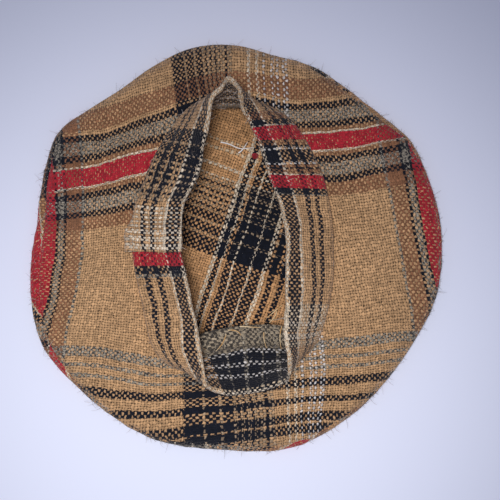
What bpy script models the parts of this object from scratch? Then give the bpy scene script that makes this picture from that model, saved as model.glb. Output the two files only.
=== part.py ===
"""A doll's tam o'shanter of checked woollen cloth.

The hat lies on its crown with the head opening up: +Z points out of the opening, +Y to the pinched back of it.
Lengths are in metres. The origin is under the middle of the hat, on the surface that it lies on.
"""
import bmesh
import bpy
import numpy as np

# Cloth and seams
CLOTH = 0.0010  # one layer of the cloth
CLEARANCE = 0.0003  # between two pieces that are sewn together
SLOPE_EASE = 0.0002  # more of it where the ring slopes up to the band

# Crown and rim
RIM_RADIUS = 0.0615  # from the hat's middle to its rim, where the reach is 1
RIM_HEIGHT = 0.0055  # of the seam where the crown meets the ring under it
RIM_TURN = 0.0007  # of the crown's inner face at the seam, in from its outer one
RIM_CURVE = 0.0090  # how far in from the rim the crown leaves the surface
ROLL_WIDTH = 0.0033  # of the crown's edge, seen from above, where the roll's share is 1

# Head opening
OPENING_X = -0.0018  # its middle
OPENING_Y = 0.0060
OPENING_HALF_WIDTH = 0.0296
OPENING_HALF_LENGTH = 0.0384
OPENING_HEIGHT = 0.0105  # of its edge where the rise's share is 1

# Headband
BAND_WIDTH = 0.0180  # from the seam to the fold, along the cloth
BAND_STAND = 0.0012  # upright part of it, just above the seam
BAND_BEND = 0.0020  # cloth used to turn from upright to its lean
BAND_TUCK = 0.0018  # seam allowance below the seam, all round
BAND_FLAP = 0.0050  # allowance added to it where the flap's share is 1
LAP_LENGTH = 0.0030  # of the band's start that its other end covers
LAP_OVERHANG = 0.0020  # of the end's fold past the start's

# Fineness of the meshes
RIM_STEPS = 96
BAND_STEPS = 100
EDGE_STEPS = 800  # around the opening's edge, where the ring is fitted to the headband
FOLD_STEPS = 5

# Rim, anticlockwise from +X: bearing in degrees, reach and roll as shares of RIM_RADIUS and ROLL_WIDTH
RIM = {
    "bearing": (0, 22, 31, 42, 54, 68, 79, 90, 102, 114, 126, 137,
                146, 157, 173, 188, 208, 222, 248, 266, 287, 302, 332, 346),
    "reach": (1.012, 1.004, 1.004, 0.964, 0.950, 0.966, 0.956, 0.983, 0.992, 0.964, 0.946, 0.978,
              1.029, 1.006, 0.978, 1.012, 1.055, 1.026, 1.014, 0.987, 1.016, 0.998, 0.985, 1.010),
    "roll": (0.45, 0.45, 0.50, 0.55, 0.55, 0.50, 0.35, 0.30, 0.30, 0.25, 0.25, 0.30,
             0.45, 0.65, 0.95, 1.00, 0.85, 0.55, 0.50, 0.60, 0.60, 0.50, 0.40, 0.45),
}

# Crown's profile from its flat middle to the seam, as shares of RIM_CURVE in from the rim, of ROLL_WIDTH
# times the roll's share in from there, and of RIM_HEIGHT up
CROWN_PROFILE = {
    "inset": (1.00, 0.70, 0.42, 0.20, 0.06, 0.00, 0.01, 0.02),
    "rolled": (0.00, 0.00, 0.00, 0.00, 0.00, 0.03, 0.38, 1.00),
    "height": (0.00, 0.03, 0.10, 0.23, 0.40, 0.60, 0.84, 1.00),
}
CROWN_FLAT = (0.30, 0.62, 0.84)  # circles in the flat middle, as shares of its reach

# Ring under the crown, from the rim to the opening: how far across, and its rise from one height to the other
RING_PROFILE = {
    "across": (0.00, 0.05, 0.13, 0.26, 0.44, 0.64, 0.84, 1.00),
    "height": (0.00, 0.17, 0.36, 0.58, 0.78, 0.91, 0.98, 1.00),
}

# Soft dents in the ring: where they are, their depth as a share of OPENING_HEIGHT, and how far they spread
DENTS = {
    "bearing": (196, 128, 232, 316, 62, 160),
    "across": (0.14, 0.45, 0.42, 0.48, 0.55, 0.55),
    "depth": (0.12, 0.12, 0.10, 0.09, 0.10, -0.06),
    "degrees": (20, 15, 14, 13, 14, 14),
    "spread": (0.10, 0.36, 0.36, 0.36, 0.40, 0.36),
}

# Headband, from its lap at the left, anticlockwise: the seam as shares of the opening's half sizes, the way from
# seam to fold in plan as shares of BAND_WIDTH, the seam's height, and how far the seam allowance shows inside
BAND = {
    "seam_x": (-0.92, -0.81, -0.75, -0.63, -0.44, -0.18, 0.19, 0.48, 0.68, 0.82, 0.92, 1.00,
               1.00, 0.91, 0.69, 0.47, 0.24, 0.00, -0.18, -0.36, -0.53, -0.74, -0.90),
    "seam_y": (-0.18, -0.63, -0.87, -1.01, -1.06, -0.98, -0.93, -0.93, -0.97, -0.90, -0.73, -0.44,
               -0.02, 0.37, 0.72, 0.88, 0.94, 0.95, 0.94, 0.91, 0.76, 0.48, 0.13),
    "lean_x": (0.84, 0.87, 0.90, 0.72, 0.45, 0.22, -0.02, -0.08, -0.20, -0.42, -0.68, -0.80,
               -0.84, -0.93, -0.87, -0.62, -0.25, 0.01, 0.25, 0.42, 0.64, 0.85, 0.87),
    "lean_y": (0.00, 0.10, 0.02, -0.06, -0.31, -0.62, -0.74, -0.64, -0.38, -0.17, -0.11, -0.02,
               0.03, 0.07, 0.07, 0.08, 0.20, 0.34, 0.20, 0.07, -0.10, -0.12, -0.02),
    "rise": (1.00, 0.95, 0.86, 0.80, 0.76, 0.80, 0.86, 0.80, 0.76, 0.80, 0.90, 1.00,
             1.00, 1.00, 0.95, 0.90, 0.84, 0.80, 0.84, 0.90, 0.95, 1.00, 1.00),
    "flap": (0.00, 0.00, 0.00, 0.20, 0.80, 1.00, 1.00, 1.00, 0.80, 0.20, 0.00, 0.00,
             0.00, 0.00, 0.00, 0.00, 0.00, 0.00, 0.00, 0.00, 0.00, 0.00, 0.00),
}
BAND_ROWS = len(BAND["seam_x"])
LAP_RAMP = 0.9  # rows over which the end climbs onto the start
LAP_EASE = 0.12  # rows by which the ring's edge gives way before the end climbs
LAP_FLAT = 0.35  # share of LAP_RAMP that is left once the end lies flat on the start
FLAP_TURN = 0.85  # share of the way from upright to level that the allowance is turned by, where the flap is 1
ROW_NUDGE = 0.02  # rows to each side by which the seam's direction is measured


def smooth_round(knots, values, period, at):
    """The value at each place on a smooth closed curve through the values at the knots."""
    knots = np.asarray(knots, float)
    x = np.concatenate([knots - period, knots, knots + period])
    y = np.tile(values, 3)
    slope = np.gradient(y, x)
    at = np.mod(np.asarray(at, float) - knots[0], period) + knots[0]
    i = np.searchsorted(x, at, side="right") - 1
    width = x[i + 1] - x[i]
    t = (at - x[i]) / width
    start = (1 + 2 * t) * (1 - t) ** 2 * y[i] + t * (1 - t) ** 2 * width * slope[i]
    end = t * t * (3 - 2 * t) * y[i + 1] + t * t * (t - 1) * width * slope[i + 1]
    return start + end


def smooth_step(at, low, high):
    t = np.clip((np.asarray(at, float) - low) / (high - low), 0, 1)
    return t * t * (3 - 2 * t)


def unit(v):
    return v / np.linalg.norm(v, axis=-1, keepdims=True)


def rim(column, bearing):
    return smooth_round(RIM["bearing"], RIM[column], 360, bearing)


def rim_reach(bearing):
    return RIM_RADIUS * rim("reach", bearing)


def roll_width(bearing):
    return ROLL_WIDTH * rim("roll", bearing)


def middle_of_rim():
    """The middle of the rim's own box, which is the hat's origin."""
    bearing = np.linspace(0, 360, RIM_STEPS, endpoint=False)
    reach = rim_reach(bearing)
    x = reach * np.cos(np.radians(bearing))
    y = reach * np.sin(np.radians(bearing))
    return np.array([(x.min() + x.max()) / 2, (y.min() + y.max()) / 2, 0])


def band(column, row):
    return smooth_round(np.arange(BAND_ROWS), BAND[column], BAND_ROWS, row)


def seam_point(row):
    """The middle of the headband where it passes the seam."""
    return np.stack([
        OPENING_X + OPENING_HALF_WIDTH * band("seam_x", row),
        OPENING_Y + OPENING_HALF_LENGTH * band("seam_y", row),
        OPENING_HEIGHT * band("rise", row),
    ], axis=-1)


def along_seam(row):
    step = seam_point(np.asarray(row) + ROW_NUDGE) - seam_point(np.asarray(row) - ROW_NUDGE)
    step[..., 2] = 0
    return unit(step)


def lapped(row):
    """1 where the band's end lies on its start, 0 before it climbs there."""
    return smooth_step(row, BAND_ROWS - LAP_RAMP, BAND_ROWS - LAP_FLAT * LAP_RAMP)


def lap_raise(row):
    """How far the band's end lies outside its start, where the rows close on themselves."""
    return (2 * CLOTH + CLEARANCE) * lapped(row)


def lap_rows():
    """The band's start covered by its end, in rows."""
    row_length = np.linalg.norm(seam_point(0) - seam_point(-1))
    return LAP_LENGTH / row_length


def band_section(row):
    """The outline of the doubled band across its length: up the outer leaf, round the fold, down the inner one."""
    tangent = along_seam(row)
    up = np.array([0.0, 0.0, 1.0])
    lean = np.array([band("lean_x", row), band("lean_y", row), 0])
    lean[2] = np.sqrt(1 - lean[0] ** 2 - lean[1] ** 2)
    flap = band("flap", row)
    level = unit(lean * (1, 1, 0))
    tuck = unit(up * (1 - FLAP_TURN * flap) + level * FLAP_TURN * flap)
    tuck_length = BAND_TUCK + BAND_FLAP * flap
    seam = seam_point(row)
    bend = (1 / 3, 2 / 3, 1)
    places = [seam - tuck * tuck_length, seam, seam + up * BAND_STAND]
    ways = [tuck, up, up]
    for part in bend:
        way = unit(up * (1 - part) + lean * part)
        places.append(places[-1] + unit(ways[-1] + way) * BAND_BEND / len(bend))
        ways.append(way)
    bent = places[-1]
    straight = BAND_WIDTH - BAND_STAND - BAND_BEND - CLOTH + LAP_OVERHANG * lapped(row)
    for part in (1 / 2, 1):
        places.append(bent + lean * straight * part)
        ways.append(lean)
    outer, inner = [], []
    for place, way in zip(places, ways):
        across = unit(np.cross(tangent, way))
        middle = place + across * lap_raise(row)
        outer.append(middle + across * CLOTH)
        inner.append(middle - across * CLOTH)
    turn = np.linspace(0, np.pi, FOLD_STEPS + 1)[1:-1]
    fold = [middle + CLOTH * (across * np.cos(a) + lean * np.sin(a)) for a in turn]
    return np.array(outer + fold + inner[::-1])


def opening_edge(bearing):
    """Reach and height of the ring's inner edge, by bearing from the hat's middle."""
    row = np.linspace(0, BAND_ROWS, EDGE_STEPS, endpoint=False)
    seam = seam_point(row)
    tangent = along_seam(row)
    outward = np.stack([tangent[:, 1], -tangent[:, 0], 0 * row], axis=-1)
    before_lap = lap_raise(row + LAP_EASE)
    after_lap = lap_raise(BAND_ROWS) * (1 - smooth_step(row, LAP_EASE / 2, 3 * LAP_EASE))
    gap = CLOTH + CLEARANCE + SLOPE_EASE + np.maximum(before_lap, after_lap)
    edge = seam + outward * gap[:, None]
    angle = np.mod(np.degrees(np.arctan2(edge[:, 1], edge[:, 0])), 360)
    order = np.argsort(angle)
    reach = np.hypot(edge[:, 0], edge[:, 1])
    return [np.interp(bearing, angle[order], v[order], period=360) for v in (reach, edge[:, 2])]


def sheet(name, loops, centre=None):
    """A sheet of cloth through closed loops of points, from the middle out, with a point in the middle if given."""
    bm = bmesh.new()
    rings = [[bm.verts.new(p) for p in loop] for loop in loops]
    for near, far in zip(rings, rings[1:]):
        for i in range(len(near)):
            j = (i + 1) % len(near)
            bm.faces.new((near[i], far[i], far[j], near[j]))
    if centre is not None:
        middle = bm.verts.new(centre)
        for i in range(len(rings[0])):
            bm.faces.new((middle, rings[0][i], rings[0][(i + 1) % len(rings[0])]))
    return finished(name, bm)


def finished(name, bm):
    mesh = bpy.data.meshes.new(name)
    bm.to_mesh(mesh)
    bm.free()
    mesh.shade_smooth()
    piece = bpy.data.objects.new(name, mesh)
    bpy.context.collection.objects.link(piece)
    return piece


def thicken(piece):
    """One layer of cloth: the sheet is its outer face, and the wall goes inwards from it."""
    wall = piece.modifiers.new("cloth", "SOLIDIFY")
    wall.thickness = CLOTH
    wall.offset = -1
    wall.use_even_offset = True
    wall.use_rim = True


def cloth_material(name, colour):
    material = bpy.data.materials.new(name)
    material.use_nodes = True
    shader = material.node_tree.nodes["Principled BSDF"]
    shader.inputs["Base Color"].default_value = (*colour, 1)
    shader.inputs["Roughness"].default_value = 0.9
    shader.inputs["Metallic"].default_value = 0
    return material


def crown_top(middle):
    """The flat round top, curved up at the rim and rolled over it to the seam."""
    bearing = np.linspace(0, 360, RIM_STEPS, endpoint=False)
    reach, roll = rim_reach(bearing), roll_width(bearing)
    east, north = np.cos(np.radians(bearing)), np.sin(np.radians(bearing))

    def loop(out, height):
        return np.stack([out * east, out * north, 0 * out + height], axis=-1) - middle

    flat = reach - RIM_CURVE * CROWN_PROFILE["inset"][0]
    loops = [loop(flat * share, 0) for share in CROWN_FLAT]
    for inset, rolled, height in zip(*CROWN_PROFILE.values()):
        loops.append(loop(reach - RIM_CURVE * inset - roll * rolled, RIM_HEIGHT * height))
    piece = sheet("crown_top", [l[::-1] for l in loops], -middle)
    thicken(piece)
    return piece


def dents(bearing, across):
    """How far the ring is pushed down there."""
    down = 0 * bearing
    for place, where, depth, degrees, spread in zip(*DENTS.values()):
        turn = np.mod(bearing - place + 180, 360) - 180
        down = down + depth * np.exp(-((turn / degrees) ** 2) - ((across - where) / spread) ** 2)
    return OPENING_HEIGHT * down * np.sin(np.pi * across)


def under_crown(middle):
    """The ring between the rim's seam and the head opening."""
    bearing = np.linspace(0, 360, RIM_STEPS, endpoint=False)
    rim_edge = rim_reach(bearing) - roll_width(bearing) - RIM_TURN - CLEARANCE
    inner_edge, inner_height = opening_edge(bearing)
    east, north = np.cos(np.radians(bearing)), np.sin(np.radians(bearing))
    loops = []
    for across, rise in zip(*RING_PROFILE.values()):
        out = rim_edge + (inner_edge - rim_edge) * across
        height = RIM_HEIGHT + (inner_height - RIM_HEIGHT) * rise
        height = height - dents(bearing, across)
        loops.append(np.stack([out * east, out * north, height], axis=-1) - middle)
    piece = sheet("under_crown", [l[::-1] for l in loops])
    thicken(piece)
    return piece


def headband(middle):
    """The strip folded double, from its covered start round to the end that laps over it."""
    rows = np.linspace(-lap_rows(), BAND_ROWS, BAND_STEPS)
    sections = [band_section(row) - middle for row in rows]
    bm = bmesh.new()
    outlines = [[bm.verts.new(p) for p in section] for section in sections]
    count = len(outlines[0])
    for near, far in zip(outlines, outlines[1:]):
        for i in range(count):
            j = (i + 1) % count
            bm.faces.new((near[i], near[j], far[j], far[i]))
    ends = [bm.faces.new(outlines[0]), bm.faces.new(outlines[-1])]
    bmesh.ops.triangulate(bm, faces=ends)
    bmesh.ops.recalc_face_normals(bm, faces=bm.faces)
    return finished("headband", bm)


def main():
    for thing in list(bpy.data.objects):
        bpy.data.objects.remove(thing)
    middle = middle_of_rim()
    camel = cloth_material("camel check cloth", (0.42, 0.24, 0.10))
    brown = cloth_material("camel check cloth, ring", (0.36, 0.20, 0.09))
    dark = cloth_material("camel check cloth, band", (0.20, 0.13, 0.08))
    for piece, material in ((crown_top(middle), camel), (under_crown(middle), brown), (headband(middle), dark)):
        piece.data.materials.append(material)


main()
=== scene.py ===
import bmesh
import bpy
import numpy as np
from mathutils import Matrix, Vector, noise


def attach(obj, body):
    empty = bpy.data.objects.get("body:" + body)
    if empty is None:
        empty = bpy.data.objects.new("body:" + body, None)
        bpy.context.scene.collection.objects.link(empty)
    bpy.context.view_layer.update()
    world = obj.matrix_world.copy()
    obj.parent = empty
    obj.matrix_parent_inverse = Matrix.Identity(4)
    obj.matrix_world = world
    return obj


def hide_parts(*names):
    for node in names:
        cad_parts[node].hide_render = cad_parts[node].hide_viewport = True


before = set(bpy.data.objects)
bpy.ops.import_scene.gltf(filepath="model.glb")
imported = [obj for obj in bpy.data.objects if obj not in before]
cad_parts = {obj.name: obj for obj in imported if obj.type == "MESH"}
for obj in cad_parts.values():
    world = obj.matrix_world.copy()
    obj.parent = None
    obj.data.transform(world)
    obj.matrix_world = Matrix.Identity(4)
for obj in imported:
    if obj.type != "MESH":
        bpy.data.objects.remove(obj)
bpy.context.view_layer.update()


# Crown
# The round top of the hat, cut from one piece of plain-woven woollen check and lying face down.
# Its cloth curls up at the rim and rolls over to the seam, so a narrow edge of it shows all round.
THREAD = 0.00081  # from one thread of the cloth to the next
CLOTH = 0.0009
RIM_RADIUS = 0.0615
RIM_HEIGHT = 0.0055
RIM_CURVE = 0.0090
ROLL_WIDTH = 0.0033
RIM = {  # anticlockwise from +X, in degrees, and shares of RIM_RADIUS and ROLL_WIDTH
    "bearing": (0, 22, 31, 42, 54, 68, 79, 90, 102, 114, 126, 137,
                146, 157, 173, 188, 208, 222, 248, 266, 287, 302, 332, 346),
    "reach": (1.012, 1.004, 1.004, 0.964, 0.950, 0.966, 0.956, 0.983, 0.992, 0.964, 0.946, 0.978,
              1.029, 1.006, 0.978, 1.012, 1.055, 1.026, 1.014, 0.987, 1.016, 0.998, 0.985, 1.010),
    "roll": (0.45, 0.45, 0.50, 0.55, 0.55, 0.50, 0.35, 0.30, 0.30, 0.25, 0.25, 0.30,
             0.45, 0.65, 0.95, 1.00, 0.85, 0.55, 0.50, 0.60, 0.60, 0.50, 0.40, 0.45),
}
CROWN_PROFILE = {  # from the flat middle up round the rim and in over the ring, then down into the seam
    "along": (0.0, 0.14, 0.28, 0.40, 0.50, 0.60, 0.73, 0.88, 0.94, 1.0),
    "inset": (1.00, 0.70, 0.42, 0.20, 0.06, 0.00, 0.01, 0.02, 0.05, 0.12),
    "rolled": (0.00, 0.00, 0.00, 0.00, 0.00, 0.03, 0.38, 1.00, 1.15, 1.20),
    "height": (0.00, 0.03, 0.10, 0.23, 0.40, 0.60, 0.86, 0.98, 0.88, 0.66),
}
FLAT_ROWS = 0.6  # share of the sheet's rows that lie on the table, before the rim turns up
TURN_CLOTH = 0.0110  # width of cloth that the rim's turn takes up
GRAIN = np.radians(18.4)  # the top's cloth lies turned clockwise by this from the ring's
YARNS = {  # colour, share of dark flecks where it is spun from two, and how full it is, so how much it hides
    "tan": ("#bd9365", 0.00, 0.06),
    # The crown's tan is a warmer copy of the tan: painted warm light, bounced into the shade inside the
    # opening
    "bounce-lit tan": ("#c08f5e", 0.00, 0.06),
    "shaded tan": ("#9c8466", 0.20, 0.06),
    "pale tan": ("#cdb48f", 0.00, 0.10),
    "brown": ("#875c3e", 0.00, 0.34),
    "red": ("#a6242c", 0.00, 0.86),
    "cream": ("#d4c1a2", 0.00, 0.26),
    "white": ("#d2c9bb", 0.00, -0.02),
    "black": ("#10131b", 0.00, 0.46),
    "grey": ("#958a75", 0.46, 0.36),
    "pale grey": ("#a79d8a", 0.40, 0.32),
    "faded grey": ("#9a8a70", 0.34, 0.62),
}
FLECK_COLOUR = "#1b1d24"
FLECK_DEPTH = 0.85
RAMP_STOPS = 30  # as many stripes as one ramp holds, so a longer order goes on in the next
SWAY = ((0.05, 2.6), (0.6, 1.1))  # how the threads wander: how finely, and by how many threads
OVER = 0.42  # how far a thread rises over and sinks under the others, in the same measure as its fullness
ROUND = 2.2  # how fast it falls away to its sides
SLUB = 0.9  # how much thicker the yarn is in some places than in others
HAIRY_EDGE = 0.10  # how softly one thread gives way to the other
HAZE = 0.17  # how much the hairs of the fuller yarn veil both
FULLER_BY = 0.12
FLOAT_SHADES = (0.72, 1.25)  # darkest and lightest that one float of yarn is, as a share of its colour
FIBRE_TONE_AND_GLINTS = (0.05, 1.90)  # the same for the fibres in it: partly their own tone, partly painted glints at the light end
WEAR_SHADES = (0.78, 1.22)  # and for wide patches, where the cloth is rubbed or faded
RELIEF = 0.0003


def linear(hex_colour):
    """A colour written as sRGB hex, made linear."""
    part = np.array([int(hex_colour[i:i + 2], 16) / 255 for i in (1, 3, 5)])
    return np.where(part <= 0.04045, part / 12.92, ((part + 0.055) / 1.055) ** 2.4)


def add(tree, kind, inputs=(), out=0, **settings):
    """Adds one node with its settings, inputs and links, and gives one of its outputs."""
    new = tree.nodes.new(kind)
    for name, value in settings.items():
        setattr(new, name, value)
    for name, value in inputs.items() if isinstance(inputs, dict) else enumerate(inputs):
        if isinstance(value, bpy.types.NodeSocket):
            tree.links.new(value, new.inputs[name])
        else:
            new.inputs[name].default_value = value
    return new.outputs[out] if new.outputs else new


def striped(tree, count, first, order, looks):
    """One look of each thread: order says how many threads of which yarn follow each other from first on."""
    look = None
    start = first
    while order:
        part, order = order[:RAMP_STOPS], order[RAMP_STOPS:]
        total = sum(threads for threads, yarn in part)
        reach = {"Value": count, "From Min": start, "From Max": start + total}
        place = add(tree, "ShaderNodeMapRange", reach)
        stripes = add(tree, "ShaderNodeValToRGB", (place,))
        ramp = stripes.node.color_ramp
        ramp.interpolation = "CONSTANT"
        done = 0
        for i, (threads, yarn) in enumerate(part):
            stop = ramp.elements[0] if i == 0 else ramp.elements.new(done / total)
            stop.position = done / total
            stop.color = (*looks[yarn], 1)
            done += threads
        ramp.elements.remove(ramp.elements[-1])
        if look is None:
            look = stripes
        else:
            beyond = add(tree, "ShaderNodeMath", (count, start), operation="GREATER_THAN")
            look = add(tree, "ShaderNodeMix", {0: beyond, 6: look, 7: stripes}, 2, data_type="RGBA")
        start += total
    return look


def woollen_check(name, cross, cross_first, length, length_first, lift):
    """Plain-woven wool: the UV map counts cross threads in U and lengthwise ones in V. The lengthwise yarn is
    thicker by lift, so it hides more of the other, and both are dry, hairy and uneven."""
    material = bpy.data.materials.new(name)
    material.use_nodes = True
    tree = material.node_tree
    tree.nodes.clear()
    thread = add(tree, "ShaderNodeUVMap", uv_map="threads")
    sway = thread
    for scale, reach in SWAY:
        drift = add(tree, "ShaderNodeTexNoise", {"Vector": thread, "Scale": scale, "Detail": 1.0}, out=1)
        off = add(tree, "ShaderNodeVectorMath", (drift, (0.5, 0.5, 0.5)), operation="SUBTRACT")
        sway = add(tree, "ShaderNodeVectorMath", (off, (reach, reach, 0.0), sway), operation="MULTIPLY_ADD")
    split = add(tree, "ShaderNodeSeparateXYZ", (sway,)).node
    cells = []
    for axis in (0, 1):
        cell = add(tree, "ShaderNodeMath", (split.outputs[axis],), operation="FLOOR")
        inside = add(tree, "ShaderNodeMath", (split.outputs[axis], cell), operation="SUBTRACT")
        cells.append((cell, add(tree, "ShaderNodeMath", (inside, 0.5), operation="SUBTRACT")))
    (cell_u, in_u), (cell_v, in_v) = cells
    odd = add(tree, "ShaderNodeMath", (cell_u, cell_v), operation="ADD")
    odd = add(tree, "ShaderNodeMath", (odd, 2.0), operation="FLOORED_MODULO")

    # Height of each of the two threads at a place: over or under the other, rounded, and unevenly thick
    tops, colours, flecks, fulls = [], [], [], []
    for count, cell, aside, along, order, first, sign, thicker in (
            (split.outputs[0], cell_u, in_u, in_v, cross, cross_first, -OVER, 0.0),
            (split.outputs[1], cell_v, in_v, in_u, length, length_first, OVER, lift)):
        over = add(tree, "ShaderNodeMath", (odd, 2 * sign, -sign), operation="MULTIPLY_ADD")
        wave = add(tree, "ShaderNodeMath", (along, np.pi), operation="MULTIPLY")
        wave = add(tree, "ShaderNodeMath", (wave,), operation="COSINE")
        full = striped(tree, count, first, order, {yarn: 3 * [YARNS[yarn][2]] for yarn in YARNS})
        fulls.append(full)
        top = add(tree, "ShaderNodeMath", (over, wave, full), operation="MULTIPLY_ADD")
        round_off = add(tree, "ShaderNodeMath", (aside, aside), operation="MULTIPLY")
        top = add(tree, "ShaderNodeMath", (round_off, -ROUND, top), operation="MULTIPLY_ADD")
        slub_at = add(tree, "ShaderNodeMath", (cell, 5.3, along), operation="MULTIPLY_ADD")
        slub_at = add(tree, "ShaderNodeCombineXYZ", (slub_at, split.outputs[0], split.outputs[1]))
        slub = add(tree, "ShaderNodeTexNoise", {"Vector": slub_at, "Scale": 0.7, "Detail": 1.0})
        top = add(tree, "ShaderNodeMath", (slub, SLUB, top), operation="MULTIPLY_ADD")
        tops.append(add(tree, "ShaderNodeMath", (top, thicker - SLUB / 2), operation="ADD"))
        colours.append(striped(tree, count, first, order, {yarn: linear(YARNS[yarn][0]) for yarn in YARNS}))
        flecks.append(striped(tree, count, first, order, {yarn: 3 * [YARNS[yarn][1]] for yarn in YARNS}))
    ahead = add(tree, "ShaderNodeMath", tops, operation="SUBTRACT")
    height = add(tree, "ShaderNodeMath", tops, operation="MAXIMUM")
    hairy_mix = {"Value": ahead, "From Min": -HAIRY_EDGE, "From Max": HAIRY_EDGE}
    cross_shows = add(tree, "ShaderNodeMapRange", hairy_mix, interpolation_type="SMOOTHSTEP")
    colour = add(tree, "ShaderNodeMix", {0: cross_shows, 6: colours[1], 7: colours[0]}, 2, data_type="RGBA")
    fuller = add(tree, "ShaderNodeMath", fulls, operation="SUBTRACT")
    fuller = {"Value": fuller, "From Min": -FULLER_BY, "From Max": FULLER_BY}
    fuller = add(tree, "ShaderNodeMapRange", fuller)
    hairs = add(tree, "ShaderNodeMix", {0: fuller, 6: colours[1], 7: colours[0]}, 2, data_type="RGBA")
    colour = add(tree, "ShaderNodeMix", {0: HAZE, 6: colour, 7: hairs}, 2, data_type="RGBA")
    fleck = add(tree, "ShaderNodeMix", {0: cross_shows, 2: flecks[1], 3: flecks[0]})

    # Dark flecks of the yarns spun from two colours
    spin = add(tree, "ShaderNodeTexNoise", {"Vector": sway, "Scale": 1.3, "Detail": 1.0, "Roughness": 0.6})
    spin = add(tree, "ShaderNodeMapRange", {"Value": spin, "From Min": 0.3, "From Max": 0.7})
    dark = add(tree, "ShaderNodeMath", (spin, fleck), operation="LESS_THAN")
    dark = add(tree, "ShaderNodeMath", (dark, FLECK_DEPTH), operation="MULTIPLY")
    flecked = {0: dark, 6: colour, 7: (*linear(FLECK_COLOUR), 1.0)}
    colour = add(tree, "ShaderNodeMix", flecked, 2, data_type="RGBA")

    # Shade: every float a little different, finer fibres in it, painted shade in the holes between, wear in
    # wide soft patches
    float_number = add(tree, "ShaderNodeMath", (ahead, 0.0), operation="GREATER_THAN")
    float_number = add(tree, "ShaderNodeCombineXYZ", (cell_u, cell_v, float_number))
    uneven = add(tree, "ShaderNodeTexWhiteNoise", {"Vector": float_number}, noise_dimensions="3D")
    fibres = add(tree, "ShaderNodeTexNoise", {"Vector": sway, "Scale": 3.0, "Detail": 2.0})
    worn = add(tree, "ShaderNodeTexNoise", {"Vector": sway, "Scale": 0.045, "Detail": 3.0})
    # Painted shade: the lower a place lies between the threads the darker its colour, and the tops a little
    # lighter
    depth = {"Value": height, "From Min": -0.40, "From Max": 0.30, "To Min": 0.02, "To Max": 1.08}
    shade = add(tree, "ShaderNodeMapRange", depth, interpolation_type="SMOOTHSTEP")
    # The fibres' factor paints glints on the yarn as well as giving its own tone
    for pattern, (low, high) in ((uneven, FLOAT_SHADES), (fibres, FIBRE_TONE_AND_GLINTS), (worn, WEAR_SHADES)):
        factor = add(tree, "ShaderNodeMapRange", {"Value": pattern, "To Min": low, "To Max": high})
        shade = add(tree, "ShaderNodeMath", (shade, factor), operation="MULTIPLY")
    shaded = add(tree, "ShaderNodeVectorMath", {0: colour, "Scale": shade}, operation="SCALE")

    relief = add(tree, "ShaderNodeMath", (fibres, 0.35, height), operation="MULTIPLY_ADD")
    bump = add(tree, "ShaderNodeBump", {"Height": relief, "Strength": 0.8, "Distance": RELIEF})
    surface = add(tree, "ShaderNodeBsdfPrincipled", {
        "Base Color": shaded, "Roughness": 0.92, "Normal": bump, "Specular IOR Level": 0.2,
        "Sheen Weight": 0.2, "Sheen Roughness": 0.45, "Sheen Tint": (*linear("#e8dccb"), 1.0),
    })
    add(tree, "ShaderNodeOutputMaterial", {"Surface": surface})
    return material


def smooth_open(knots, values, at):
    """A smooth line through the values at the knots."""
    knots, values = np.asarray(knots, float), np.asarray(values, float)
    slope = np.gradient(values, knots)
    at = np.clip(np.asarray(at, float), knots[0], knots[-1])
    i = np.clip(np.searchsorted(knots, at, side="right") - 1, 0, len(knots) - 2)
    width = knots[i + 1] - knots[i]
    t = (at - knots[i]) / width
    start = (1 + 2 * t) * (1 - t) ** 2 * values[i] + t * (1 - t) ** 2 * width * slope[i]
    return start + t * t * (3 - 2 * t) * values[i + 1] + t * t * (t - 1) * width * slope[i + 1]


def smooth_round(knots, values, period, at):
    """The same on a closed line."""
    knots = np.asarray(knots, float)
    at = np.mod(np.asarray(at, float) - knots[0], period) + knots[0]
    three = np.concatenate([knots - period, knots, knots + period])
    return smooth_open(three, np.tile(values, 3), at)


def rim(column, bearing):
    return smooth_round(RIM["bearing"], RIM[column], 360, bearing)


turn = np.linspace(0, 360, 96, endpoint=False)
edge_x = RIM_RADIUS * rim("reach", turn) * np.cos(np.radians(turn))
edge_y = RIM_RADIUS * rim("reach", turn) * np.sin(np.radians(turn))
MIDDLE = np.array([(edge_x.min() + edge_x.max()) / 2, (edge_y.min() + edge_y.max()) / 2, 0])


def rumpled(points, size, amount, seed):
    """Small soft unevenness of handled cloth, as a height for each point."""
    return np.array([amount * noise.noise(Vector(p) / size + Vector((seed, 0, 0))) for p in points])


def cloth_sheet(name, across, along, place, counts, reverse=False):
    """One layer of cloth from a grid: place gives the places of its corners, counts their thread numbers."""
    bm = bmesh.new()
    bmesh.ops.create_grid(bm, x_segments=across, y_segments=along, size=0.5)
    spot = np.array([v.co[:2] for v in bm.verts]) + 0.5
    points = place(spot[:, 0], spot[:, 1])
    numbers = counts(spot[:, 0], spot[:, 1], points)
    layer = bm.loops.layers.uv.new("threads")
    for face in bm.faces:
        for loop in face.loops:
            loop[layer].uv = numbers[loop.vert.index]
    for v, p in zip(bm.verts, points):
        v.co = p - MIDDLE
    if reverse:
        bmesh.ops.reverse_faces(bm, faces=bm.faces)
    bmesh.ops.remove_doubles(bm, verts=bm.verts, dist=1e-6)
    mesh = bpy.data.meshes.new(name)
    bm.to_mesh(mesh)
    bm.free()
    mesh.shade_smooth()
    piece = bpy.data.objects.new(name, mesh)
    bpy.context.collection.objects.link(piece)
    wall = piece.modifiers.new("cloth", "SOLIDIFY")
    wall.thickness = CLOTH
    wall.offset = -1
    wall.use_even_offset = False
    return piece


def crown_profile(column, at):
    return smooth_open(CROWN_PROFILE["along"], CROWN_PROFILE[column], at)


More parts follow.
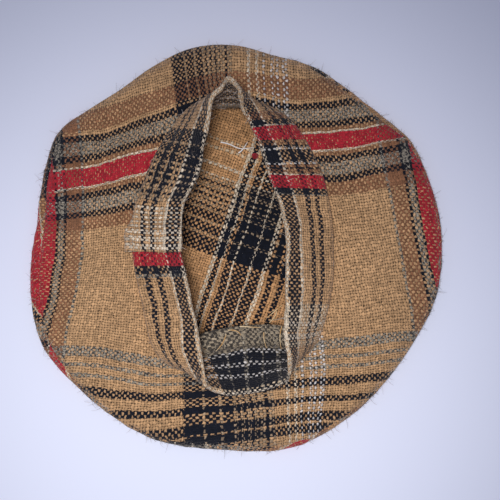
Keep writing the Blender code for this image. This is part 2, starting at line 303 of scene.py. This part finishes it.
def crown_place(x, y):
    bearing = 360 * x
    reach, roll = RIM_RADIUS * rim("reach", bearing), ROLL_WIDTH * rim("roll", bearing)
    flat = np.minimum(y / FLAT_ROWS, 1)
    curl = np.clip((y - FLAT_ROWS) / (1 - FLAT_ROWS), 0, 1)
    inner = (reach - RIM_CURVE) * flat
    outer = reach - RIM_CURVE * crown_profile("inset", curl) - roll * crown_profile("rolled", curl)
    out = np.where(y <= FLAT_ROWS, inner, outer)
    height = np.where(y <= FLAT_ROWS, 0, RIM_HEIGHT * crown_profile("height", curl))
    angle = np.radians(bearing)
    points = np.stack([out * np.cos(angle), out * np.sin(angle), height], axis=-1)
    lift = rumpled(points, size=0.013, amount=0.0011, seed=3.0)
    points[:, 2] += np.clip(lift, 0, 1) * np.clip(1 - curl * 3, 0, 1)
    wave = rumpled(points, size=0.006, amount=0.0005, seed=8.0) * np.clip((curl - 0.4) * 4, 0, 1)
    points[:, 0] -= np.abs(wave) * np.cos(angle)
    points[:, 1] -= np.abs(wave) * np.sin(angle)
    return points


def crown_threads(x, y, points):
    """Thread numbers on the flat cut: past the rim's turn the cloth goes on outwards."""
    bearing = 360 * x
    reach = RIM_RADIUS * rim("reach", bearing)
    curl = np.clip((y - FLAT_ROWS) / (1 - FLAT_ROWS), 0, 1)
    inner = (reach - RIM_CURVE) * np.minimum(y / FLAT_ROWS, 1)
    out = np.where(y <= FLAT_ROWS, inner, reach - RIM_CURVE + TURN_CLOTH * curl)
    angle = np.radians(bearing) + GRAIN
    return np.stack([out * np.sin(angle), out * np.cos(angle)], axis=-1) / THREAD


DARK_BAND = [  # threads across the cloth that its black ones crowd, thinning out to one side
    (6, "black"), (1, "shaded tan"), (4, "black"), (1, "shaded tan"), (3, "black"), (1, "shaded tan"),
    *3 * [(1, "black"), (1, "shaded tan")], *2 * [(1, "black"), (2, "shaded tan")],
]
# The crown's tan threads are the warmer copy, with painted warm bounce light
CROWN_LENGTHWISE = [
    (24, "bounce-lit tan"), (9, "black"), (2, "brown"), (1, "cream"), (8, "red"), (1, "cream"), (2, "black"),
    (4, "grey"), (2, "black"), (5, "brown"), (1, "grey"), (42, "bounce-lit tan"), (1, "cream"), (2, "black"),
    (1, "cream"), (1, "bounce-lit tan"), (3, "black"), (1, "cream"), (5, "black"), (1, "cream"), (4, "black"),
    (1, "cream"), (2, "bounce-lit tan"), (2, "black"), (2, "bounce-lit tan"), (2, "black"), (37, "bounce-lit tan"),
    (1, "grey"), (6, "brown"), (2, "black"), (13, "grey"), (3, "black"), (20, "bounce-lit tan"),
]
CROWN_CROSS = [
    (24, "bounce-lit tan"), (3, "black"), (6, "grey"), (2, "black"), (2, "brown"), (1, "cream"), (6, "red"),
    (1, "cream"), (4, "brown"), (48, "bounce-lit tan"), *DARK_BAND, (1, "cream"), (3, "bounce-lit tan"), (1, "cream"),
    (5, "bounce-lit tan"), (1, "pale tan"), (2, "bounce-lit tan"), (1, "pale tan"), (34, "bounce-lit tan"), (6, "black"),
    (5, "grey"), (25, "bounce-lit tan"),
]
crown = cloth_sheet("crown_cloth", across=360, along=90, place=crown_place, counts=crown_threads)
crown_wool = woollen_check(
    "plain-woven wool, camel check, crown",
    cross=CROWN_CROSS, cross_first=-102, length=CROWN_LENGTHWISE, length_first=-108, lift=0.06,
)
crown.data.materials.append(crown_wool)
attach(crown, "root")
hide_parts("crown_top")


# Ring
# The underside of the hat: a ring of the same cloth from the rim's seam to the head opening.
# It is sewn to the crown inside out, so the seam shows as a narrow valley, and it is softly dented.
OPENING_X = -0.0018
OPENING_Y = 0.0060
OPENING_HALF_WIDTH = 0.0296
OPENING_HALF_LENGTH = 0.0384
OPENING_HEIGHT = 0.0105
SEAM_GAP = 0.0004  # from the crown's rolled rim to the ring's edge
SEAM_TUCK = 0.0008  # how far the ring's edge goes on under the rim
SEAM_DROP = 0.0016  # how far it goes down there
SEAM_DIP = 0.0009  # how far the seam pulls the cloth beside it down
DIP_SHARE = 0.03  # how wide that dip is, as a share of the way in
TUCK_ROWS = 0.06  # share of the sheet's rows that are tucked in at the rim
BAND_CLEAR = 0.0008  # from the band's seam to the ring's inner edge
RING_PROFILE = {
    "across": (0.00, 0.05, 0.13, 0.26, 0.44, 0.64, 0.84, 1.00),
    "height": (0.00, 0.17, 0.36, 0.58, 0.78, 0.91, 0.98, 1.00),
}
DENTS = {  # where they lie and how wide they are, by bearing and by share of the way in
    "bearing": (196, 128, 232, 316, 62, 160, 176, 260, 285),
    "across": (0.14, 0.45, 0.42, 0.48, 0.55, 0.55, 0.40, 0.70, 0.65),
    "depth": (0.12, 0.12, 0.10, 0.09, 0.10, -0.06, 0.03, 0.03, -0.03),
    "degrees": (20, 15, 14, 13, 14, 14, 3, 4, 5),
    "spread": (0.10, 0.36, 0.36, 0.36, 0.40, 0.36, 0.50, 0.25, 0.25),
}
BAND = {  # from the lap at the left, anticlockwise, in shares of the opening's half length, width and height
    "seam_x": (-0.92, -0.81, -0.75, -0.63, -0.44, -0.18, 0.19, 0.48, 0.68, 0.82, 0.92, 1.00,
               1.00, 0.91, 0.69, 0.47, 0.24, 0.00, -0.18, -0.36, -0.53, -0.74, -0.90),
    "seam_y": (-0.18, -0.63, -0.87, -1.01, -1.06, -0.98, -0.93, -0.93, -0.97, -0.90, -0.73, -0.44,
               -0.02, 0.37, 0.72, 0.88, 0.94, 0.95, 0.94, 0.91, 0.76, 0.48, 0.13),
    "lean_x": (0.84, 0.87, 0.90, 0.72, 0.45, 0.22, -0.02, -0.08, -0.20, -0.42, -0.68, -0.80,
               -0.84, -0.93, -0.87, -0.62, -0.25, 0.01, 0.25, 0.42, 0.64, 0.85, 0.87),
    "lean_y": (0.00, 0.10, 0.02, -0.06, -0.31, -0.62, -0.74, -0.64, -0.38, -0.17, -0.11, -0.02,
               0.03, 0.07, 0.07, 0.08, 0.20, 0.34, 0.20, 0.07, -0.10, -0.12, -0.02),
    "rise": (1.00, 0.95, 0.86, 0.80, 0.76, 0.80, 0.86, 0.80, 0.76, 0.80, 0.90, 1.00,
             1.00, 1.00, 0.95, 0.90, 0.84, 0.80, 0.84, 0.90, 0.95, 1.00, 1.00),
    "flap": (0.00, 0.00, 0.00, 0.20, 0.80, 1.00, 1.00, 1.00, 0.80, 0.20, 0.00, 0.00,
             0.00, 0.00, 0.00, 0.00, 0.00, 0.00, 0.00, 0.00, 0.00, 0.00, 0.00),
}
BAND_ROWS = len(BAND["seam_x"])
CROSS_LINES = {  # how far to the right some cross threads lie, in mm, where they pass each height
    "height": (60, 30, 0, -30, -60),
    0: (-48.0, -45.0, -44.3, -50.2, -55.5),
    42: (-19.5, -16.2, -15.3, -15.2, -15.0),
    70: (-1.5, 1.5, 6.0, 10.0, 12.6),
    91: (16.2, 17.1, 22.5, 27.3, 26.0),
    123: (39.0, 42.4, 48.1, 52.8, 53.7),
}
LENGTHWISE_LINES = {  # how high some lengthwise threads lie, in mm, at each distance to the right
    "right": (-55, -40, -25, 0, 20, 35, 50),
    0: (31.2, 33.0, 38.1, 44.1, 41.9, 43.2, 45.3),
    28: (9.0, 10.5, 13.8, 18.6, 20.4, 21.6, 24.6),
    81: (-28.5, -28.8, -32.1, -33.0, -27.9, -25.8, -24.3),
    97: (-39.6, -42.0, -43.3, -41.5, -39.0, -38.0, -36.4),
    104: (-44.6, -47.3, -48.4, -46.0, -44.1, -43.3, -42.2),
    111: (-50.0, -53.8, -54.7, -51.9, -49.5, -48.4, -47.0),
    115: (-53.4, -57.4, -58.5, -55.5, -52.8, -52.0, -50.6),
}


def band(column, row):
    return smooth_round(np.arange(BAND_ROWS), BAND[column], BAND_ROWS, row)


def seam_point(row):
    return np.stack([
        OPENING_X + OPENING_HALF_WIDTH * band("seam_x", row),
        OPENING_Y + OPENING_HALF_LENGTH * band("seam_y", row),
        OPENING_HEIGHT * band("rise", row),
    ], axis=-1)


def thread_number(lines, knots, at, value):
    """The thread that passes a place, between the lines whose threads are known."""
    known = [key for key in lines if key != knots]
    order = np.argsort(lines[knots])
    sorted_knots = np.array(lines[knots])[order]
    where = np.stack([smooth_open(sorted_knots, np.array(lines[key])[order], at) for key in known])
    falling = where[0] > where[-1]
    count = np.empty(len(at))
    for i in range(len(at)):
        spots, names = (where[::-1, i], known[::-1]) if falling[i] else (where[:, i], known)
        count[i] = np.interp(value[i], spots, names)
        low, high = spots[0] - value[i], value[i] - spots[-1]
        step = -1 if falling[i] else 1
        if low > 0:
            count[i] = names[0] - step * low / (THREAD * 1000)
        if high > 0:
            count[i] = names[-1] + step * high / (THREAD * 1000)
    return count


def ring_edge(bearing):
    """Reach and height of the ring's inner edge, by bearing."""
    row = np.linspace(0, BAND_ROWS, 800, endpoint=False)
    seam = seam_point(row)
    angle = np.mod(np.degrees(np.arctan2(seam[:, 1], seam[:, 0])), 360)
    order = np.argsort(angle)
    reach = np.hypot(seam[:, 0], seam[:, 1]) + BAND_CLEAR
    return [np.interp(bearing, angle[order], v[order], period=360) for v in (reach, seam[:, 2])]


def ring_place(x, y):
    bearing = 360 * x
    rim_edge = RIM_RADIUS * rim("reach", bearing) - ROLL_WIDTH * rim("roll", bearing) - SEAM_GAP
    inner_edge, inner_height = ring_edge(bearing)
    across = np.clip((y - TUCK_ROWS) / (1 - TUCK_ROWS), 0, 1)
    tucked = np.clip(1 - y / TUCK_ROWS, 0, 1)
    out = rim_edge + (inner_edge - rim_edge) * across + SEAM_TUCK * np.sin(tucked * np.pi / 2)
    rise = smooth_open(RING_PROFILE["across"], RING_PROFILE["height"], across)
    height = RIM_HEIGHT + (inner_height - RIM_HEIGHT) * rise
    for place, where, depth, degrees, spread in zip(*DENTS.values()):
        away = np.mod(bearing - place + 180, 360) - 180
        dent = depth * np.exp(-((away / degrees) ** 2) - ((across - where) / spread) ** 2)
        height = height - OPENING_HEIGHT * dent * np.sin(np.pi * across)
    height = height - SEAM_DIP * np.exp(-across / DIP_SHARE) - SEAM_DROP * (1 - np.cos(tucked * np.pi / 2))
    angle = np.radians(bearing)
    points = np.stack([out * np.cos(angle), out * np.sin(angle), height], axis=-1)
    soft = np.sin(np.pi * np.clip(across, 0, 1)) ** 0.5
    wide = rumpled(points, size=0.016, amount=0.0011, seed=1.0)
    small = rumpled(points, size=0.006, amount=0.0004, seed=5.0)
    points[:, 2] += (wide + small) * soft
    return points


def ring_threads(x, y, points):
    """Thread numbers read from the lines that some threads follow over the dented ring."""
    right, up = points[:, 0] * 1000, points[:, 1] * 1000
    return np.stack([
        thread_number(CROSS_LINES, "height", up, right),
        thread_number(LENGTHWISE_LINES, "right", right, up),
    ], axis=-1)


RING_CROSS = [
    (27, "brown"), (1, "cream"), (12, "red"), (1, "black"), (2, "grey"), (1, "black"), (6, "brown"),
    (1, "grey"), (42, "tan"), *DARK_BAND, (5, "tan"), (1, "cream"), (2, "tan"), (1, "cream"), (2, "tan"),
    (1, "white"), (2, "tan"), (1, "white"), (1, "tan"), (1, "white"), (1, "tan"), (2, "white"), (33, "tan"),
    (1, "grey"), (6, "brown"), (1, "black"), (2, "grey"), (1, "black"), (12, "red"), (1, "cream"),
    (27, "brown"),
]
RING_LENGTHWISE = [
    (40, "tan"), (7, "brown"), (2, "tan"), (2, "black"), (5, "grey"), (2, "black"), (2, "brown"),
    (1, "cream"), (6, "red"), (1, "cream"), (2, "brown"), (2, "black"), (5, "grey"), (2, "black"),
    (5, "brown"), (47, "tan"), (4, "grey"), (2, "tan"), (2, "grey"), (2, "tan"), (2, "grey"), (3, "tan"),
    (3, "black"), (4, "tan"), (3, "black"), (4, "tan"), (3, "black"), (1, "tan"), (3, "black"), (39, "tan"),
]
ring = cloth_sheet("ring_cloth", across=360, along=56, place=ring_place, counts=ring_threads, reverse=True)
ring_wool = woollen_check(
    "plain-woven wool, camel check, ring",
    cross=RING_CROSS, cross_first=-51, length=RING_LENGTHWISE, length_first=-50, lift=0.06,
)
ring.data.materials.append(ring_wool)
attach(ring, "root")
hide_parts("under_crown")


# Headband
# A straight strip of the cloth folded double lengthwise and sewn round the opening, its end over its start.
# Its sides flop inwards, its back is pinched, and its front turns out and shows its inside and raw allowance.
BAND_WIDTH = 0.0180
BAND_STAND = 0.0012
BAND_BEND = 0.0020
BAND_TUCK = 0.0018
BAND_FLAP = 0.0050
FLAP_TURN = 0.85  # from hanging down towards level
LAP_LENGTH = 0.0030
LAP_OVERHANG = 0.0020
LAP_RAISE = 0.0021  # how far the end is lifted by the start under it
LAP_BLEND = (0.90, 0.32)  # rows before the last over which it rises
LEAF = 0.0010  # from the middle of the doubled band to its face
WAVE_HEIGHT = 0.004  # above the seam, from where on the band waves freely
CROSS_AT_ROW = {  # thread numbers along the band at its rows
    "row": (-1, 0, 1, 2, 3, 4, 5, 6, 7, 8, 9, 10, 11, 12, 13, 14, 15, 16, 17, 18, 19, 20, 21, 22, 23),
    "thread": (-14, 0, 21, 34, 43, 50, 57, 69, 80, 87, 96, 106, 120, 140, 163, 182, 193, 202, 211, 217, 224,
               232, 249, 264, 281),
}
CROSS_SHEAR = {  # threads by which the fold's numbers run ahead of the seam's
    "row": (-1, 12, 13, 14, 15, 16, 17, 24),
    "thread": (0, 0, 1.5, 4.0, 4.0, 2.0, 0, 0),
}


def unit(v):
    return v / np.linalg.norm(v, axis=-1, keepdims=True)


def smooth_step(at, low, high):
    t = np.clip((np.asarray(at, float) - low) / (high - low), 0, 1)
    return t * t * (3 - 2 * t)


def along_seam(row):
    step = seam_point(row + 0.02) - seam_point(row - 0.02)
    step[..., 2] = 0
    return unit(step)


LAP_ROWS = LAP_LENGTH / np.linalg.norm(seam_point(0) - seam_point(-1))
TUCK_STEPS, STAND_STEPS, BEND_STEPS, LEAF_STEPS, TURN_STEPS = 5, 2, 4, 14, 10
SIDE_STEPS = TUCK_STEPS + STAND_STEPS + BEND_STEPS + LEAF_STEPS
SECTION_STEPS = 2 * SIDE_STEPS + TURN_STEPS


def band_section(row):
    """Corners of the folded strip across its length, and their distance along the cloth from the fold."""
    tangent = along_seam(np.array([row]))[0]
    up = np.array([0.0, 0.0, 1.0])
    lean = np.array([float(band("lean_x", row)), float(band("lean_y", row)), 0])
    lean[2] = np.sqrt(1 - lean[0] ** 2 - lean[1] ** 2)
    flap = float(band("flap", row))
    lapped = float(smooth_step(row, BAND_ROWS - LAP_BLEND[0], BAND_ROWS - LAP_BLEND[1]))
    tuck = unit(up * (1 - FLAP_TURN * flap) + unit(lean * (1, 1, 0)) * FLAP_TURN * flap)
    tuck_length = BAND_TUCK + BAND_FLAP * flap
    seam = seam_point(np.array([row]))[0]
    places = [seam - tuck * tuck_length * (1 - i / TUCK_STEPS) for i in range(TUCK_STEPS + 1)]
    ways = [tuck] * TUCK_STEPS + [unit(tuck + up)]
    for i in range(STAND_STEPS):
        places.append(places[-1] + up * BAND_STAND / STAND_STEPS)
        ways.append(up)
    for i in range(BEND_STEPS):
        way = unit(up * (1 - (i + 1) / BEND_STEPS) + lean * (i + 1) / BEND_STEPS)
        places.append(places[-1] + unit(ways[-1] + way) * BAND_BEND / BEND_STEPS)
        ways.append(way)
    straight = BAND_WIDTH - BAND_STAND - BAND_BEND - LEAF + LAP_OVERHANG * lapped
    bent = places[-1]
    for i in range(LEAF_STEPS):
        places.append(bent + lean * straight * (i + 1) / LEAF_STEPS)
        ways.append(lean)
    outer, inner = [], []
    reach = np.concatenate([[0], np.cumsum(np.linalg.norm(np.diff(places, axis=0), axis=1))])
    reach = reach[-1] - reach + LEAF * np.pi / 2
    for place, way in zip(places, ways):
        across = unit(np.cross(tangent, way))
        middle = place + across * LAP_RAISE * lapped
        outer.append(middle + across * LEAF)
        inner.append(middle - across * LEAF)
    turn = np.linspace(0, np.pi, TURN_STEPS + 1)[1:-1]
    fold = [middle + LEAF * (across * np.cos(a) + lean * np.sin(a)) for a in turn]
    measure = np.concatenate([reach, LEAF * (np.pi / 2 - turn), -reach[::-1]])
    return np.array(outer + fold + inner[::-1]), measure / THREAD


BAND_STEPS = 380
band_rows = np.linspace(-LAP_ROWS, BAND_ROWS, BAND_STEPS + 1)
sections = [band_section(row) for row in band_rows]
band_points = np.array([s[0] for s in sections])
band_measure = np.array([s[1] for s in sections])


def band_spot(x, y):
    return np.rint(x * BAND_STEPS).astype(int), np.rint(y * SECTION_STEPS).astype(int)


def band_place(x, y):
    points = band_points[band_spot(x, y)].copy()
    row = band_rows[band_spot(x, y)[0]]
    tangent = along_seam(row)
    aside = np.stack([tangent[:, 1], -tangent[:, 0], 0 * row], axis=-1)
    free = np.clip((points[:, 2] - OPENING_HEIGHT) / WAVE_HEIGHT, 0, 1)
    stretched = points * (1, 1, 0.3)
    wave = rumpled(stretched, size=0.010, amount=0.0009, seed=2.0)
    wave += rumpled(stretched, size=0.0035, amount=0.0003, seed=4.0)
    return points + aside * (wave * free)[:, None]


def band_threads(x, y, points):
    """Thread numbers along the strip and across it, a little sheared where the back is pinched."""
    spot = band_spot(x, y)
    row, measure = band_rows[spot[0]], band_measure[spot]
    along = smooth_open(CROSS_AT_ROW["row"], CROSS_AT_ROW["thread"], row)
    shear = smooth_open(CROSS_SHEAR["row"], CROSS_SHEAR["thread"], row)
    return np.stack([along + shear * (1 - np.abs(measure) * THREAD / BAND_WIDTH), measure], axis=-1)


BAND_CROSS = [
    (14, "tan"), (5, "red"), (3, "black"), (1, "grey"), (47, "tan"), *5 * [(5, "black"), (1, "grey")],
    (12, "tan"), (2, "pale tan"), (1, "tan"), (2, "cream"), (1, "tan"), (2, "pale tan"), (1, "cream"),
    (6, "pale tan"), (41, "tan"), (1, "grey"), (3, "black"), (6, "red"), (1, "cream"), (2, "brown"),
    (1, "black"), (1, "brown"), (1, "white"), (5, "black"), (1, "white"), (1, "black"), (2, "brown"),
    (6, "red"), (1, "pale grey"), (2, "black"), (4, "brown"), (40, "tan"), *DARK_BAND, (2, "tan"),
    *5 * [(1, "cream"), (1, "tan")], *4 * [(2, "cream"), (1, "tan")], (20, "tan"),
]
BAND_LENGTHWISE = [
    (10, "faded grey"), (2, "white"), (3, "black"), (2, "white"), (3, "black"), (2, "white"), (5, "black"),
    (1, "pale tan"), (2, "cream"), (5, "black"), (1, "cream"), (4, "tan"), (2, "black"), (2, "tan"),
    (2, "black"), (30, "tan"),
]
headband = cloth_sheet("headband_cloth", BAND_STEPS, SECTION_STEPS, band_place, band_threads)
band_wool = woollen_check(
    "plain-woven wool, camel check, headband",
    cross=BAND_CROSS, cross_first=-14, length=BAND_LENGTHWISE, length_first=-29, lift=0.0,
)
headband.data.materials.append(band_wool)
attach(headband, "root")
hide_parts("headband")


# Fuzz and loose threads
# Wool spins hairy: fine fibres stand off the cloth, thickest along the rim and the folds of the band.
# Ends have come away from the raw edge in front, and a snipped white sewing thread lies inside the crown.
FIBRE = 0.00004  # half the thickness of a hair, drawn twice as coarse as a real one so that it shows
HAIR_STEPS = 5
HAIR_TILT = 0.8  # how far the hairs stand off the upright
HAIR_BEND = 0.6  # how tightly they curl
HAIR_WAVER = 0.15
HAIR_SHORTEST = 0.2  # as a share of the longest
MOSTLY_SHORT = 6  # the higher, the fewer long hairs
PATCHES = 420.0  # changes of colour along a metre of loose wool
chance = np.random.default_rng(7)


def fibre_wool(name, colours):
    """Loose wool: matt and dull, its colour changing every few millimetres as the fibres of the cloth do."""
    material = bpy.data.materials.new(name)
    material.use_nodes = True
    tree = material.node_tree
    tree.nodes.clear()
    place = add(tree, "ShaderNodeTexCoord", out=3)
    patch = add(tree, "ShaderNodeTexNoise", {"Vector": place, "Scale": PATCHES, "Detail": 1.0})
    patch = add(tree, "ShaderNodeMapRange", {"Value": patch, "From Min": 0.35, "From Max": 0.65})
    ends = {6: (*linear(colours[0]), 1.0), 7: (*linear(colours[1]), 1.0)}
    colour = add(tree, "ShaderNodeMix", {0: patch, **ends}, 2, data_type="RGBA")
    surface = add(tree, "ShaderNodeBsdfPrincipled", {
        "Base Color": colour, "Roughness": 0.9, "Specular IOR Level": 0.2, "Sheen Weight": 0.2,
    })
    add(tree, "ShaderNodeOutputMaterial", {"Surface": surface})
    return material


def strands(name, lines, half_thickness, material, smooth=False):
    """Round strands along the lines, thinner towards their ends, as one mesh."""
    data = bpy.data.curves.new(name, "CURVE")
    data.dimensions = "3D"
    data.bevel_depth = half_thickness
    data.bevel_resolution = 1 if smooth else 0
    data.resolution_u = 6
    for line in lines:
        spline = data.splines.new("NURBS" if smooth else "POLY")
        spline.points.add(len(line) - 1)
        for point, place, share in zip(spline.points, line, np.linspace(0, 1, len(line))):
            point.co = (*place, 1)
            point.radius = 1 - 0.6 * share ** 2
        if smooth:
            spline.order_u = 4
            spline.use_endpoint_u = True
    draft = bpy.data.objects.new(name + "_draft", data)
    bpy.context.collection.objects.link(draft)
    mesh = bpy.data.meshes.new_from_object(draft)
    bpy.data.objects.remove(draft)
    mesh.materials.clear()
    mesh.materials.append(material)
    mesh.shade_smooth()
    piece = bpy.data.objects.new(name, mesh)
    bpy.context.collection.objects.link(piece)
    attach(piece, "root")
    return piece


def curls(piece, count, longest, chosen, side=1):
    """Fibres from places picked at random on one face of a cloth, each with its own bend."""
    co = np.array([v.co for v in piece.data.vertices])
    out = side * np.array([v.normal for v in piece.data.vertices])
    spots = chance.choice(np.flatnonzero(chosen(co)), count)
    lines = []
    for spot in spots:
        start = co[spot] + (out[spot] * CLOTH if side < 0 else 0)
        way = unit(out[spot] + chance.normal(0, HAIR_TILT, 3))
        bend = chance.normal(0, HAIR_BEND, 3)
        share = HAIR_SHORTEST + (1 - HAIR_SHORTEST) * chance.random() ** MOSTLY_SHORT
        line = [start]
        for _ in range(HAIR_STEPS):
            way = unit(way + bend + chance.normal(0, HAIR_WAVER, 3))
            line.append(line[-1] + way * longest * share / HAIR_STEPS)
        line = np.array(line)
        line[:, 2] = np.maximum(line[:, 2], 2 * FIBRE)
        lines.append(line)
    return lines


hairs = [  # on the rim, all over the ring, on the band above its seam, and on the crown inside the opening
    *curls(crown, 2400, 0.0040, lambda co: co[:, 2] > 0.0012),
    *curls(ring, 700, 0.0020, lambda co: np.hypot(co[:, 0], co[:, 1]) > 0),
    *curls(headband, 1300, 0.0026, lambda co: co[:, 2] > 0.006),
    *curls(crown, 160, 0.0018, lambda co: np.hypot(co[:, 0], co[:, 1] - 0.003) < 0.026, -1),
]
strands("wool_fuzz", hairs, FIBRE, fibre_wool("stray wool fibres", ("#7d6a58", "#d9cdbd")))

THREAD_ENDS = {  # in mm to the right and up, as they lie on the cloth
    "snipped_sewing_thread": (
        ((-4.3, 31.9), (-2.1, 31.5), (-0.2, 30.5), (1.5, 29.7), (3.4, 29.9), (5.4, 30.3)),
        ((1.1, 28.7), (2.4, 29.4), (2.9, 30.5), (3.8, 32.0)),
    ),
    "frayed_ends": (
        ((1.5, -23.2), (3.4, -23.1), (6.0, -23.5), (7.7, -23.5)),
        ((-1.9, -24.3), (-0.9, -24.1), (0.6, -24.4), (1.5, -25.0), (1.8, -25.8)),
        ((-1.5, -22.9), (-2.4, -25.0), (-3.0, -27.2), (-4.3, -29.3), (-5.6, -30.4)),
        ((14.1, -17.3), (12.4, -18.6), (10.5, -20.3), (9.4, -21.2)),
        ((14.6, -19.9), (13.3, -21.2), (11.6, -22.0), (10.1, -21.6)),
        ((13.9, -23.3), (13.1, -25.5), (13.3, -28.0), (13.7, -29.7)),
        ((8.6, -25.0), (8.4, -27.2), (9.4, -29.3)),
        ((10.3, -22.6), (11.8, -21.0), (12.9, -19.3), (12.2, -18.2), (11.0, -19.2)),
    ),
    "red_ends": (
        ((5.2, 28.2), (6.1, 28.5), (7.0, 28.2)), ((5.3, 27.8), (6.2, 28.1), (7.1, 27.9)),
        ((5.4, 27.4), (6.4, 27.7), (7.1, 27.4)), ((5.6, 27.0), (6.4, 27.3), (7.0, 27.0)),
    ),
}
THREAD_COLOURS = {
    "snipped_sewing_thread": ("#efe6d8", "#fff8ec"), "frayed_ends": ("#c9954f", "#ecd2a2"),
    "red_ends": ("#8e1820", "#b5303a"),
}
THREAD_HALF = {"snipped_sewing_thread": 0.00022, "frayed_ends": 0.00019, "red_ends": 0.00028}
bpy.context.view_layer.update()
depsgraph = bpy.context.evaluated_depsgraph_get()
cloths = [piece.evaluated_get(depsgraph) for piece in (crown, ring, headband)]


def laid(line, clear):
    """The line on top of whatever cloth is under it, arching a little off it between its ends."""
    places = []
    for share, (right, up) in zip(np.linspace(0, 1, len(line)), line):
        x, y = right / 1000 - MIDDLE[0], up / 1000 - MIDDLE[1]
        found = [cloth.ray_cast((x, y, 0.06), (0, 0, -1)) for cloth in cloths]
        top = max(place.z for hit, place, normal, face in found if hit)
        places.append((x, y, top + clear * (0.8 + 4 * np.sin(np.pi * share))))
    return places


for thread_name, thread_lines in THREAD_ENDS.items():
    thread_wool = fibre_wool(thread_name.replace("_", " ") + ", spun wool", THREAD_COLOURS[thread_name])
    half = THREAD_HALF[thread_name]
    strands(thread_name, [laid(line, half) for line in thread_lines], half, thread_wool, smooth=True)


# Table, lights and camera
# The hat lies crown down on pale paper and is seen from straight above.
# A soft lamp above its front left leaves the corners dimmer, and the room's light is cool.
HALF_VIEW = 0.075
VIEW_HEIGHT = 0.003  # of the part of the hat that fills the view
VIEW_MIDDLE = (0.0045, -0.0006)
CAMERA_HEIGHT = 0.400
PAPER_COLOUR = "#e7e8ee"
LAMP_PLACE = (-0.0396, -0.0173, 0.5774)
LAMP_AIM = (-0.0125, -0.0417, 0)
LAMP_SPREAD = 31.5  # in degrees
bm = bmesh.new()
bmesh.ops.create_grid(bm, x_segments=1, y_segments=1, size=1.5)
mesh = bpy.data.meshes.new("table")
bm.to_mesh(mesh)
bm.free()
table = bpy.data.objects.new("table", mesh)
bpy.context.collection.objects.link(table)
# Matt paper: an even, cool near-white without gloss
paper = bpy.data.materials.new("matt paper")
paper.use_nodes = True
sheet_shader = paper.node_tree.nodes["Principled BSDF"]
sheet_shader.inputs["Base Color"].default_value = (*linear(PAPER_COLOUR), 1)
sheet_shader.inputs["Roughness"].default_value = 0.8
sheet_shader.inputs["Specular IOR Level"].default_value = 0.2
table.data.materials.append(paper)

lamp_data = bpy.data.lights.new("lamp", "SPOT")
lamp_data.energy = 11.7
lamp_data.color = (0.95, 0.97, 1.08)
lamp_data.shadow_soft_size = 0.07
lamp_data.spot_size = np.radians(LAMP_SPREAD)
lamp_data.spot_blend = 1.0
lamp = bpy.data.objects.new("lamp", lamp_data)
lamp.location = LAMP_PLACE
lamp.rotation_euler = (Vector(LAMP_AIM) - lamp.location).to_track_quat("-Z", "Y").to_euler()
bpy.context.collection.objects.link(lamp)
world = bpy.data.worlds.new("room light")
bpy.context.scene.world = world
world.use_nodes = True
world.node_tree.nodes["Background"].inputs[0].default_value = (0.66, 0.71, 1.0, 1)
world.node_tree.nodes["Background"].inputs[1].default_value = 0.34
bpy.context.scene.view_settings.view_transform = "Standard"

camera_data = bpy.data.cameras.new("camera")
camera_data.lens = camera_data.sensor_width / 2 * (CAMERA_HEIGHT - VIEW_HEIGHT) / HALF_VIEW
camera = bpy.data.objects.new("camera", camera_data)
camera.location = (VIEW_MIDDLE[0] - MIDDLE[0], VIEW_MIDDLE[1] - MIDDLE[1], CAMERA_HEIGHT)
bpy.context.collection.objects.link(camera)
bpy.context.scene.camera = camera
